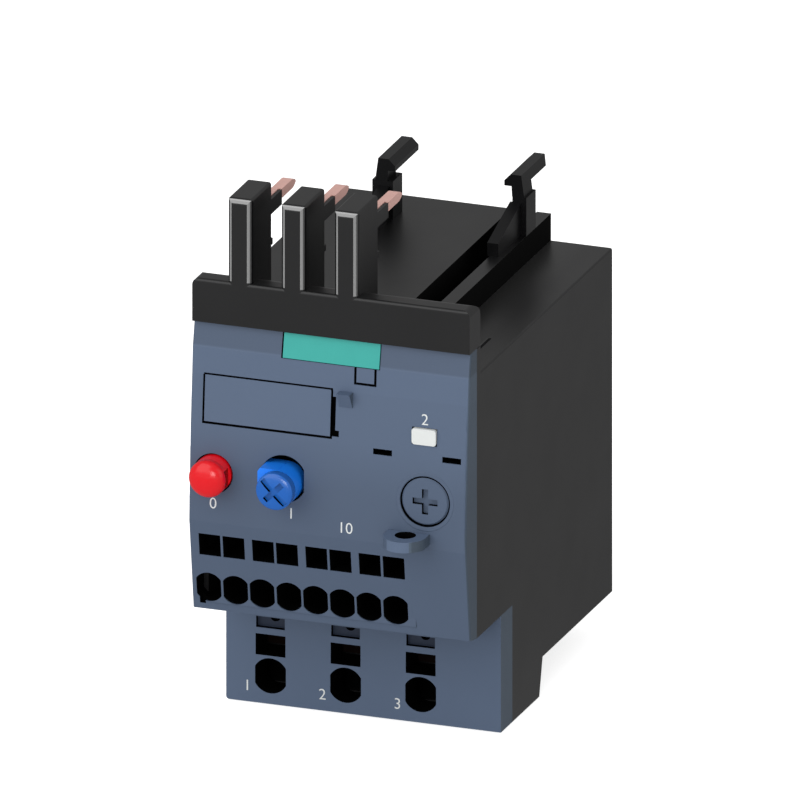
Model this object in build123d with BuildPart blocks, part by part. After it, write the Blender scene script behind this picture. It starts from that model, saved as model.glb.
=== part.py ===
from build123d import *
from math import atan, cos, degrees, hypot, pi, sin
import os

os.makedirs("parts", exist_ok=True)

# A thermal overload relay for a motor starter, 45 mm wide. All sizes are in millimetres.
# X runs across the front, Y from the front to the rear face, Z up.
# The origin is the centre of the rear face, so the front has negative Y.

# Housing
width = 45.0
depth = 63.9
height = 59.85
wall = 1.5
partition = 1.6
seam_gap = 0.1
skirt_drop = 47.0
foot_drop = 65.94
foot_back = 31.0
heel_back = 32.5
lip_drop = 46.5
step_inset = 10.07
step_drop = 4.3
step_round = 0.3
slot_inset = 16.5
slot_width = 4.15
slot_depth = 6.9
roof_drop = 8.5
edge_round = 0.5

# Clearances
seat = 0.1
gap = 0.3

# Cap on the top front edge, with the three prongs that carry the blades
cap_depth = 4.8
cap_height = 7.0
cap_rear_round = 2.4
cap_side_round = 1.1
prong_first = 7.635
prong_pitch = 8.62
prong_width = 3.93
prong_depth = 8.87
prong_height = 20.6
prong_round = 0.9
prong_top_round = 0.4
arm_length = 4.8
arm_low = 15.4
arm_thick = 2.4
nub_height = 10.9
nub_size = 1.0
nub_proud = 0.7

# Front cover: the profile's points are set back from the cap's front plane
cover_back = 3.2
cover_wall = 1.6
cover_round = 0.4
boss_wall = 1.0
brow_set = 0.8
brow_drop = 4.0
band_drop = 8.3
band_out = 0.3
belly_drop = 20.0
belly_out = 1.15
chin_drop = 31.7
chin_out = 1.6
lip_set = 0.35

# Plates on the cover
plate_start = 14.7
plate_width = 15.7
plate_drop = 0.2
plate_height = 3.95
plate_thick = 0.6
plate_proud = 0.15
plate_fit = 0.05
label_start = 2.3
label_width = 20.4
label_drop = 8.25
label_height = 7.35
label_thick = 0.9
label_proud = 0.1
label_gap = 0.25
pry_width = 0.8
pry_drop = 9.3
notch_width = 1.4
notch_height = 1.0
wedge_start = 24.1
wedge_width = 2.1
wedge_height = 2.5
wedge_proud = 1.7
wedge_foot = 0.3
tab_start = 26.3
tab_width = 3.65
tab_drop = 4.25
tab_height = 2.75
groove = 0.4
groove_deep = 0.3

# Slits beside the dial
slit_width = 3.05
slit_height = 0.95
slit_drop = 16.65
slit_insets = (15.3, 4.1)

# Stop button
stop_across = 3.91
stop_drop = 23.8
stop_hole = 3.18
button_radius = 2.95
stop_face = 5.3
stop_dome = 1.4
stop_notch = 2.4
push_travel = 2.5
stem_radius = 1.4

# Reset button, a turning knob on a sliding stem
reset_across = 15.26
reset_drop = 24.0
reset_hole_drop = 23.3
reset_hole = 3.78
reset_flat = 3.35
reset_face = 5.9
knob_length = 1.9
knob_dome = 0.6
pivot_radius = 1.0
pivot_length = 1.2
key_fit = 0.1
key_half = 2.3
cross_depth = 0.6
cross_arm = 0.9
cross_long = 5.2
cross_short = 3.9
head_thick = 0.8

# Test button
test_inset = 7.06
test_drop = 13.82
test_width = 3.9
test_height = 2.57
test_round = 0.45
test_rear = 1.6
test_face = 1.15
test_travel = 1.2
test_stem = 0.9

# Current dial
dial_inset = 6.75
dial_drop = 24.15
dial_radius = 3.8
dial_face = 1.35
dial_thick = 1.9
dial_shaft = 1.8
dial_cross = 4.05
dial_arm = 1.0
dial_cross_depth = 0.7
dial_fit = 0.25
dial_bevel = 0.25
cam_radius = 2.4
cam_offset = 0.7
cam_thick = 1.4

# Springs
wire = 0.4
spring_turns = 4
small_wire = 0.3
wire_steps = 8

# Guide wall behind the buttons
guide_set = 8.2
guide_thick = 1.4
guide_low = 29.0
guide_high = 18.0
guide_end = 20.5
guide_post = 1.2
guide_inset = 11.5
collar_thick = 0.8
collar_rim = 0.5

# Sealing lug
lug_inset = 9.25
lug_drop = 29.2
lug_thick = 1.7
lug_radius = 3.35
lug_reach = 3.4
lug_hole = 1.65
lug_hole_set = 3.25

# Auxiliary terminals, four pairs
aux_first = 4.94
aux_pitch = 8.65
aux_half = 2.17
tool_half = 1.94
tool_shift = 0.26
tool_width = 3.52
tool_height = 3.61
tool_drop = 33.77
entry_drop = 42.75
entry_round = 4.8
entry_flat = 4.0
comb_set = 9.5
comb_top = 32.6
comb_side = 5.4
break_start = 1.2
break_width = 1.0
break_top = 43.8
break_low = 45.6
aux_bar_thick = 0.8
aux_bar_width = 5.2
aux_tongue_drop = 39.5
aux_tongue_start = 9.9
aux_riser_set = 15.4
aux_riser_width = 4.0
aux_riser_top = 27.9
aux_spring = 0.4
aux_spring_height = 4.2
aux_spring_width = 6.6
ledge_top = 38.0
ledge_low = 41.0

# Main terminals and poles
pole_first = 7.65
pole_pitch = 12.17
block_set = 13.9
block_thick = 5.1
block_trim = 0.46
window_width = 4.65
window_height = 1.8
window_drop = 51.9
pocket_deep = 0.8
peep_radius = 0.85
peep_shift = 0.5
main_tool_width = 4.85
main_tool_height = 3.43
main_tool_drop = 54.72
main_entry_drop = 61.38
main_entry_round = 5.7
main_entry_flat = 5.0
chamber_half = 4.6
chamber_back = 30.0
chamber_floor = 64.0
cell_half = 4.8
cell_floor = 50.2
rear_wall = 2.0
bus_thick = 1.2
bus_width = 6.0
tongue_drop = 57.7
tongue_start = 20.0
riser_set = 28.9
clamp_thick = 0.6
clamp_width = 8.0
clamp_height = 4.4
clamp_set = 21.2

# Contact bars with the blade pins
bar_width = 1.1
blade_width = 1.7
bar_thick = 1.5
bar_level = 17.15
bar_drop_set = 3.15
bar_run_drop = 9.65
lead_space = 1.4
blade_reach = 19.8
blade_taper = 2.0
blade_tip = 0.25
foot_length = 2.4

# Bimetal strips and their heaters
strip_set = 42.0
strip_width = 6.0
strip_thick = 0.9
strip_top = 11.0
turns = 7
turn_height = 2.2
turn_pitch = 3.9
turn_first = 16.6
heater_thick = 0.5
heater_across = 4.6
heater_deep = 8.4
lead_width = 1.1

# Trip slide with its peg, the pusher that the peg drives and the pusher's guide pin
slide_drop = 12.8
slide_thick = 1.2
slide_width = 10.0
slide_start = 4.4
slide_inset = 5.2
slide_travel = 2.0
peg_radius = 0.6
peg_height = 1.3
peg_inset = 6.1
peg_fit = 0.08
peg_lead = 1.2
pusher_inset = 4.9
pusher_set = 17.5
pusher_half = 1.8
pusher_front = 15.2
pusher_back = 19.8
pusher_low = 31.7
plate_near = 6.8
plate_far = 2.0
plate_back = 2.6
arm_tip = 28.0
arm_across = 1.4
arm_low_drop = 31.4
arm_tall = 2.0
pin_radius = 0.9
pin_fit = 0.05
pin_drop = 18.5
pin_seat = 1.1
bracket_drop = 32.0
bracket_inset = 7.0
bracket_front = 14.0
bracket_back = 21.0
bracket_thick = 1.8
bay_inset = 7.1
bay_drop = 15.6

# Contact carrier with the two bridges
carrier_start = 5.0
carrier_end = 33.0
carrier_front = 13.4
carrier_back = 19.6
carrier_room = 2.4
carrier_top = 24.5
carrier_low = 26.9
rail_first = 9.0
rail_second = 24.0
rail_width = 2.0
rail_front = 15.0
rail_thick = 1.6
keel_start = 21.0
keel_front = 16.2
carrier_travel = 1.15
post_near = 1.0
post_far = 2.0
bridge_thick = 0.6
bridge_height = 1.4
bridge_drop = 28.9
rivet_radius = 0.7
rivet_thick = 0.28
hanger_width = 2.4
hanger_thick = 1.3
hanger_below = 0.4
bridge_end = 1.4
contact_gap = 0.05
carrier_coil = 18.0
carrier_coil_radius = 0.95
carrier_turns = 3

# Latch hooks, mirror images about the middle
left_hook_over = 0.12
left_hook_base = 3.35
right_hook_base = 2.28
hook_foot = 2.33
hook_waist = 0.36
hook_shoulder = 0.83
hook_crown = 2.53
hook_nose = 3.58
hook_grip = 0.63
nose_high = 1.05
nose_low = 1.9
hook_front = 52.9
hook_base_depth = 4.2
hook_base_height = 6.2
hook_post_depth = 3.8
hook_top = 9.75
hook_length = 10.5
brace_width = 1.8
brace_front = 42.7
brace_low = 2.16
brace_high = 5.38

# Cuts: how far they run past the piece, and how deep a slice reaches
past = 1.0
slice_deep = 20.0

# Datum lines
left = -width / 2
right = width / 2
front = -depth
top = height / 2
seam = top + seam_gap
skirt = seam - skirt_drop
roof = seam - roof_drop
partition_front = front + carrier_back + carrier_room
partition_back = partition_front + partition
guide_front = front + guide_set
guide_back = guide_front + guide_thick
pole_lines = [left + pole_first + pole_pitch * i for i in range(3)]
prong_lines = [left + prong_first + prong_pitch * i for i in range(3)]
aux_lines = [left + aux_first + aux_pitch * i for i in range(4)]
blade_lines = [x + prong_width / 2 - blade_width / 2 for x in prong_lines]
bar_lines = [x - blade_width / 2 + bar_width / 2 for x in blade_lines]
ridge = right - step_inset
pusher_x = right - pusher_inset
pusher_y = front + pusher_set
dial_x = right - dial_inset
dial_z = seam - dial_drop
test_x = right - test_inset
test_z = seam - test_drop
stop_x = left + stop_across
stop_z = seam - stop_drop
reset_x = left + reset_across
reset_z = seam - reset_drop
reset_hole_z = seam - reset_hole_drop
slide_mid = front + strip_set
bar_end = strip_set - heater_deep / 2 - lead_space


def block(x0, x1, y0, y1, z0, z1, mode=Mode.ADD):
    """A box between two corners."""
    with Locations(((x0 + x1) / 2, (y0 + y1) / 2, (z0 + z1) / 2)):
        Box(x1 - x0, y1 - y0, z1 - z0, mode=mode)


def rod(x, z, radius, y0, y1, mode=Mode.ADD):
    """A round rod along Y."""
    with BuildSketch(Plane.XZ.offset(-y0)) as section:
        with Locations((x, z)):
            Circle(radius)
    extrude(section.sketch, amount=-(y1 - y0), mode=mode)


def flatted(x, z, radius, half, y0, y1, mode=Mode.ADD):
    """A rod along Y with a flat on its left and right."""
    with BuildSketch(Plane.XZ.offset(-y0)) as section:
        with Locations((x, z)):
            Circle(radius)
            Rectangle(2 * half, 2 * radius + 1, mode=Mode.INTERSECT)
    extrude(section.sketch, amount=-(y1 - y0), mode=mode)


def bent_strip(x, strip_across, points, thick):
    """A strip of metal folded square along a line of (y, z) points."""
    half = strip_across / 2
    for (y0, z0), (y1, z1) in zip(points, points[1:]):
        if z0 == z1:
            block(x - half, x + half, min(y0, y1), max(y0, y1), z0 - thick / 2, z0 + thick / 2)
        else:
            block(x - half, x + half, y0 - thick / 2, y0 + thick / 2, min(z0, z1) - thick / 2,
                  max(z0, z1) + thick / 2)


def face_line(shift):
    """The cover's front profile, top to bottom, moved back by shift."""
    brow = (front + brow_set + shift, seam)
    band = (front + shift, seam - brow_drop)
    waist = (front - band_out + shift, seam - band_drop)
    belly = (front - belly_out + shift, seam - belly_drop)
    chin = (front - chin_out + shift, seam - chin_drop)
    lip = (front + lip_set + shift, seam - lip_drop)
    Polyline(brow, band, waist)
    ThreePointArc(waist, belly, chin)
    Line(chin, lip)
    return brow, lip


def face_strip(x0, x1, z0, z1, proud, deep, mode=Mode.ADD):
    """A layer that follows the cover's curved front between two heights."""
    with BuildSketch(Plane.YZ.offset(x0)) as layer:
        with BuildLine():
            outer = face_line(-proud)
            inner = face_line(deep)
            Line(outer[0], inner[0])
            Line(outer[1], inner[1])
        make_face()
        with Locations((front, (z0 + z1) / 2)):
            Rectangle(slice_deep, z1 - z0, mode=Mode.INTERSECT)
    extrude(layer.sketch, amount=x1 - x0, mode=mode)


def bar_path(index, spare, mode=Mode.ADD):
    """The bar of one pole, from its blade down into the housing, with spare room all round."""
    x = bar_lines[index]
    half = bar_width / 2 + spare
    rise = bar_thick / 2 + spare
    upper = seam + bar_level
    lower = seam - bar_run_drop
    drop = front + bar_drop_set
    block(x - half, x + half, drop - rise, front + prong_depth + arm_length + spare, upper - rise,
          upper + rise, mode)
    block(x - half, x + half, drop - rise, drop + rise, lower - rise, upper, mode)
    ends = sorted((x, pole_lines[index]))
    rear = front + bar_end
    block(x - half, x + half, drop, rear + spare, lower - rise, lower + rise, mode)
    block(ends[0] - half, ends[1] + half, rear - foot_length - spare, rear + spare, lower - rise,
          lower + rise, mode)


def coil(x, z, mean, y0, y1, thick, count):
    """A compression spring along Y, between two planes, of short straight lengths."""
    length = y1 - y0 - thick
    total = count * wire_steps
    points = []
    for step in range(total + 1):
        angle = 2 * pi * step / wire_steps
        points.append((x + mean * cos(angle), y0 + thick / 2 + length * step / total, z + mean * sin(angle)))
    with BuildLine() as path:
        Polyline(*points)
    with BuildSketch(Plane(origin=path.line @ 0, z_dir=path.line % 0)) as section:
        RegularPolygon(thick / 2, 6)
    sweep(section.sketch, path=path.line, transition=Transition.RIGHT)


def dome(x, z, radius, face, deep, rear):
    """A round button along Y with a domed front of flat rings."""
    with BuildSketch(Plane.XY.offset(z)) as half:
        with BuildLine():
            Polyline((x, face), (x + 0.55 * radius, face + 0.12 * deep), (x + 0.88 * radius, face + 0.5 * deep),
                     (x + radius, face + deep), (x + radius, rear), (x, rear), close=True)
        make_face()
    revolve(half.sketch, axis=Axis((x, 0, z), (0, 1, 0)))


def write(builder, name):
    """Label one finished piece and write it."""
    builder.part.label = name
    export_step(builder.part, "parts/" + name + ".step")


# Main housing
with BuildPart() as main_housing:
    with BuildSketch(Plane.YZ.offset(left)):
        with BuildLine():
            Polyline(
                (front + cover_back, top),
                (0, top),
                (0, -height / 2),
                (front + heel_back, -height / 2),
                (front + foot_back, seam - foot_drop),
                (front + block_set + block_thick, seam - foot_drop),
                (front + block_set + block_thick, skirt),
                (front + cover_back, skirt),
                close=True,
            )
        make_face()
    extrude(amount=width)
    rear_edges = main_housing.edges().filter_by(Axis.Z).group_by(Axis.Y)[-1]
    fillet(rear_edges, edge_round)
    # Shelf on the right and slot beside its ridge
    block(ridge, right + 1, front + cap_depth, 1, top - step_drop, top + 1, Mode.SUBTRACT)
    shelf_edge = main_housing.edges().filter_by(Axis.Y).group_by(Axis.X)[-1].sort_by(Axis.Z)[-2:]
    fillet([e for e in shelf_edge if e.length > depth / 2], step_round)
    slot_from = right - slot_inset
    block(slot_from, slot_from + slot_width, front + cap_depth, 1, top - slot_depth, top + 1, Mode.SUBTRACT)
    # Room behind the cover, and the bay for the pusher's plate
    block(left + wall, right - wall, front, partition_front, skirt + wall, roof, Mode.SUBTRACT)
    bay_back = front + strip_set + slide_width / 2 + gap
    block(right - bay_inset, right - wall, front + cover_back, bay_back, seam - bay_drop, roof, Mode.SUBTRACT)
    # One cell and one terminal chamber for each pole
    for x in pole_lines:
        block(x - cell_half, x + cell_half, partition_back, -rear_wall, seam - cell_floor, roof,
              Mode.SUBTRACT)
        block(x - chamber_half, x + chamber_half, front + block_set, front + chamber_back,
              seam - chamber_floor, seam - cell_floor + bus_thick, Mode.SUBTRACT)
    # Window for the trip slide through the cell walls
    block(pole_lines[0] - cell_half, right - bay_inset + 1, slide_mid - slide_width / 2 - gap,
          slide_mid + slide_width / 2 + gap, seam - slide_drop - slide_thick / 2 - gap,
          seam - slide_drop + slide_thick / 2 + gap, Mode.SUBTRACT)
    # Guide walls for the stems
    block(left + wall, left + guide_end, guide_front, guide_back, seam - guide_low, seam - guide_high)
    block(left + guide_end - guide_post, left + guide_end, guide_front, guide_back, seam - guide_high, roof)
    block(right - guide_inset, right - wall, guide_front, guide_back, seam - guide_low, roof)
    for x, z, radius in (
        (stop_x, stop_z, stem_radius),
        (reset_x, reset_z, stem_radius),
        (test_x, test_z, test_stem),
        (dial_x, dial_z, dial_shaft),
    ):
        rod(x, z, radius + seat, guide_front - 1, guide_back + 1, Mode.SUBTRACT)
    # Rails of the contact carrier and the ledge behind the auxiliary terminals
    for across in (rail_first, rail_second):
        block(left + across, left + across + rail_width, front + rail_front, partition_front,
              seam - carrier_top + gap, seam - carrier_top + gap + rail_thick)
    block(left + keel_start, left + keel_start + rail_width, front + keel_front, partition_front,
          seam - carrier_low - gap - rail_thick, seam - carrier_low - gap)
    ledge_front = front + aux_riser_set + aux_bar_thick / 2 + seat
    block(left + wall, aux_lines[-1] + comb_side, ledge_front, partition_front, seam - ledge_low,
          seam - ledge_top)
    # Bracket under the pusher and the holes of its guide pin
    block(right - bracket_inset, right - wall, front + bracket_front, front + bracket_back,
          seam - bracket_drop - bracket_thick, seam - bracket_drop)
    pin_z = seam - pin_drop
    pin_front = guide_back - pin_seat
    pin_back = partition_front + pin_seat
    rod(pusher_x, pin_z, pin_radius + pin_fit, pin_front - seat, pin_back + seat, Mode.SUBTRACT)
    for i in range(3):
        bar_path(i, seat, Mode.SUBTRACT)
write(main_housing, "main_housing")

# Top cap with the three prongs
with BuildPart() as prong_row:
    with BuildSketch(Plane.XZ.offset(-front)) as fronts:
        for x in prong_lines:
            with Locations((x, seam + prong_height / 2)):
                Rectangle(prong_width, prong_height)
        fillet(fronts.vertices().group_by(Axis.Y)[-1], prong_top_round)
    extrude(amount=-prong_depth)
    with BuildSketch(Plane.XY.offset(seam)) as plans:
        for x in prong_lines:
            with Locations((x, front + prong_depth / 2)):
                Rectangle(prong_width, prong_depth)
        fillet(plans.vertices().group_by(Axis.Y)[0], prong_round)
    extrude(amount=prong_height, mode=Mode.INTERSECT)
    with BuildSketch(Plane.YZ.offset(left)) as prong_side:
        with Locations((front + prong_depth / 2, seam + prong_height / 2)):
            Rectangle(prong_depth, prong_height)
        fillet(prong_side.vertices().group_by(Axis.Y)[-1].sort_by(Axis.X)[0], prong_round)
    extrude(amount=width, mode=Mode.INTERSECT)
with BuildPart() as top_cap:
    with BuildSketch(Plane.YZ.offset(left)) as cap_side:
        with Locations((front + cap_depth / 2, seam + cap_height / 2)):
            Rectangle(cap_depth, cap_height)
        fillet(cap_side.vertices().group_by(Axis.Y)[-1].sort_by(Axis.X)[-1], cap_rear_round)
        fillet(cap_side.vertices().group_by(Axis.Y)[-1].sort_by(Axis.X)[0], edge_round)
    extrude(amount=width)
    with BuildSketch(Plane.XZ.offset(-front)) as cap_front:
        with Locations((0, seam + cap_height / 2)):
            Rectangle(width, cap_height)
        fillet(cap_front.vertices().group_by(Axis.Y)[-1], cap_side_round)
    extrude(amount=-cap_depth, mode=Mode.INTERSECT)
    add(prong_row.part)
    for x in prong_lines:
        block(x - prong_width / 2, x + prong_width / 2, front + prong_depth - 1,
              front + prong_depth + arm_length, seam + arm_low, seam + arm_low + arm_thick)
        block(x + prong_width / 2 - nub_size, x + prong_width / 2, front + prong_depth - 1,
              front + prong_depth + nub_proud, seam + nub_height - nub_size / 2,
              seam + nub_height + nub_size / 2)
    for i in range(3):
        bar_path(i, seat, Mode.SUBTRACT)
write(top_cap, "top_cap")

# Latch hooks, seated on the top beside the ridge's outer face and its mirror line
for name, side, over, base in (
    ("latch_hook_left", -1, left_hook_over, left_hook_base),
    ("latch_hook_right", 1, 0, right_hook_base),
):
    with BuildPart() as hook:
        base_x = sorted((side * (ridge + over), side * (ridge + over - base)))
        block(base_x[0], base_x[1], front + hook_front, front + hook_front + hook_base_depth, top,
              top + hook_base_height)
        with BuildSketch(Plane.XZ.offset(-(front + hook_front))):
            with BuildLine():
                Polyline(
                    (side * (ridge - hook_foot), top + hook_base_height),
                    (side * (ridge - hook_waist), top + hook_base_height),
                    (side * (ridge - hook_shoulder), top + hook_top),
                    (side * (ridge - hook_crown), top + hook_top),
                    close=True,
                )
            make_face()
        extrude(amount=-hook_post_depth)
        with BuildSketch(Plane.XZ.offset(-(front + hook_front))):
            with BuildLine():
                Polyline(
                    (side * (ridge - hook_shoulder), top + hook_top),
                    (side * (ridge - hook_crown), top + hook_top),
                    (side * (ridge - hook_nose), top + hook_top - nose_high),
                    (side * (ridge - hook_nose), top + hook_top - nose_low),
                    (side * (ridge - hook_grip), top + hook_top - nose_low),
                    close=True,
                )
            make_face()
        extrude(amount=-hook_length)
        brace_x = min(side * (ridge - hook_shoulder), side * (ridge - hook_shoulder - brace_width))
        with BuildSketch(Plane.YZ.offset(brace_x)):
            with BuildLine():
                Polyline(
                    (front + brace_front, top),
                    (front + brace_front, top + brace_low),
                    (front + hook_front, top + brace_high),
                    (front + hook_front, top),
                    close=True,
                )
            make_face()
        extrude(amount=brace_width)
    write(hook, name)

# Front cover
with BuildPart() as front_cover:
    with BuildSketch(Plane.YZ.offset(left)):
        with BuildLine():
            ends = face_line(0)
            Polyline(ends[0], (front + cover_back, seam), (front + cover_back, skirt), ends[1])
        make_face()
    extrude(amount=width)
    outline = front_cover.edges().filter_by(lambda e: e.center().Y < front + 1 and abs(e.center().X) > right - 0.1)
    fillet(outline, cover_round)
    with BuildSketch(Plane.YZ.offset(left + cover_wall)):
        with BuildLine():
            ends = face_line(cover_wall)
            Polyline(ends[0], (front + cover_back + 1, seam), (front + cover_back + 1, skirt), ends[1])
        make_face()
        with Locations((front, (seam - cover_wall + skirt + cover_wall) / 2)):
            Rectangle(slice_deep, skirt_drop - 2 * cover_wall, mode=Mode.INTERSECT)
    extrude(amount=width - 2 * cover_wall, mode=Mode.SUBTRACT)
    # Bosses round the buttons, the dial and the comb of the auxiliary terminals
    cover_rear = front + cover_back
    rod(stop_x, stop_z, stop_hole + boss_wall / 2, front, cover_rear)
    rod(reset_x, reset_hole_z, reset_hole + boss_wall, front, cover_rear)
    rod(dial_x, dial_z, dial_radius + boss_wall, front, cover_rear)
    block(left + wall + gap, aux_lines[-1] + comb_side, front, front + comb_set, skirt + wall + gap,
          seam - comb_top)
    # Sealing lug
    with BuildSketch(Plane.XY.offset(seam - lug_drop - lug_thick)) as lug:
        tip = front - lug_reach
        with Locations((right - lug_inset, tip)):
            Circle(lug_radius)
        with Locations((right - lug_inset, (tip + front) / 2)):
            Rectangle(2 * lug_radius, lug_reach)
        with Locations((right - lug_inset, front - lug_hole_set)):
            Circle(lug_hole, mode=Mode.SUBTRACT)
    extrude(amount=lug_thick)
    # Holes for the buttons and the dial
    rod(stop_x, stop_z, stop_hole, front - 2, cover_rear + 1, Mode.SUBTRACT)
    flatted(reset_x, reset_hole_z, reset_hole, reset_flat, front - 2, cover_rear + 1, Mode.SUBTRACT)
    rod(dial_x, dial_z, dial_radius + dial_fit, front - 2, cover_rear + 1, Mode.SUBTRACT)
    test_half = test_width / 2 + seat
    block(test_x - test_half, test_x + test_half, front - 2, cover_rear + 1,
          test_z - test_height / 2 - seat, test_z + test_height / 2 + seat, Mode.SUBTRACT)
    for inset in slit_insets:
        block(right - inset, right - inset + slit_width, front - 2, cover_rear + 1,
              seam - slit_drop - slit_height, seam - slit_drop, Mode.SUBTRACT)
    # Tool holes and wire entries
    for x in aux_lines:
        for side in (-1, 1):
            hole = x + tool_shift + side * tool_half
            block(hole - tool_width / 2, hole + tool_width / 2, front - 2, front + comb_set + 1,
                  seam - tool_drop - tool_height, seam - tool_drop, Mode.SUBTRACT)
            flatted(x + side * aux_half, seam - entry_drop, entry_round / 2, entry_flat / 2, front - 2,
                    front + comb_set + 1, Mode.SUBTRACT)
    block(left + break_start, left + break_start + break_width, front - 2, front + cover_wall,
          seam - break_low, seam - break_top, Mode.SUBTRACT)
    # Seats of the plates, the slot and the notch beside the label, and the small tab's groove
    face_strip(left + plate_start, left + plate_start + plate_width, seam - plate_drop - plate_height,
               seam - plate_drop, 1, plate_thick - plate_proud, Mode.SUBTRACT)
    label_right = left + label_start + label_width
    label_low = seam - label_drop - label_height
    face_strip(left + label_start - label_gap, label_right + label_gap, label_low - label_gap,
               seam - label_drop + label_gap, 1, label_thick, Mode.SUBTRACT)
    face_strip(label_right, label_right + pry_width, label_low, seam - pry_drop, 1, label_thick,
               Mode.SUBTRACT)
    face_strip(label_right, label_right + notch_width, label_low, label_low + notch_height, 1, label_thick,
               Mode.SUBTRACT)
    face_strip(left + tab_start, left + tab_start + tab_width, seam - tab_drop - tab_height,
               seam - tab_drop, 1, groove_deep, Mode.SUBTRACT)
    face_strip(left + tab_start + groove, left + tab_start + tab_width - groove,
               seam - tab_drop - tab_height + groove, seam - tab_drop, 0, 2 * groove_deep)
    # Finger wedge
    wedge_root = front + wedge_foot
    with BuildSketch(Plane.YZ.offset(left + wedge_start)):
        with BuildLine():
            Polyline(
                (front - band_out - wedge_proud, seam - label_drop),
                (wedge_root, seam - label_drop),
                (wedge_root, seam - label_drop - wedge_height),
                (front - band_out - wedge_foot, seam - label_drop - wedge_height),
                close=True,
            )
        make_face()
    extrude(amount=wedge_width)
    for i in range(3):
        bar_path(i, seat, Mode.SUBTRACT)
write(front_cover, "front_cover")

# Name plate and label plate
with BuildPart() as name_plate:
    face_strip(left + plate_start + plate_fit, left + plate_start + plate_width - plate_fit,
               seam - plate_drop - plate_height + plate_fit, seam - plate_drop - plate_fit, plate_proud,
               plate_thick - plate_proud)
write(name_plate, "name_plate")
with BuildPart() as label_plate:
    face_strip(left + label_start, label_right, label_low, seam - label_drop, label_proud, label_thick)
write(label_plate, "label_plate")

# Lower terminal block
block_front = front + block_set
block_rear = block_front + block_thick
with BuildPart() as terminal_block:
    block(left + block_trim, right, block_front, block_rear, seam - foot_drop, skirt)
    low_edge = terminal_block.edges().filter_by(Axis.Y).group_by(Axis.Z)[0].sort_by(Axis.X)[0]
    fillet(low_edge, edge_round)
    for x in pole_lines:
        block(x - window_width / 2, x + window_width / 2, block_front - 1, block_front + pocket_deep,
              seam - window_drop - window_height, seam - window_drop, Mode.SUBTRACT)
        with BuildSketch(Plane.XZ.offset(-block_front)):
            with Locations((x + peep_shift, seam - window_drop)):
                Circle(peep_radius)
            with Locations((x + peep_shift, seam - window_drop - peep_radius / 2)):
                Rectangle(2 * peep_radius, peep_radius, mode=Mode.INTERSECT)
        extrude(amount=-(block_thick + 1), mode=Mode.SUBTRACT)
        block(x - main_tool_width / 2, x + main_tool_width / 2, block_front - 1, block_rear + 1,
              seam - main_tool_drop - main_tool_height, seam - main_tool_drop, Mode.SUBTRACT)
        flatted(x, seam - main_entry_drop, main_entry_round / 2, main_entry_flat / 2, block_front - 1,
                block_rear + 1, Mode.SUBTRACT)
write(terminal_block, "terminal_block")

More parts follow.
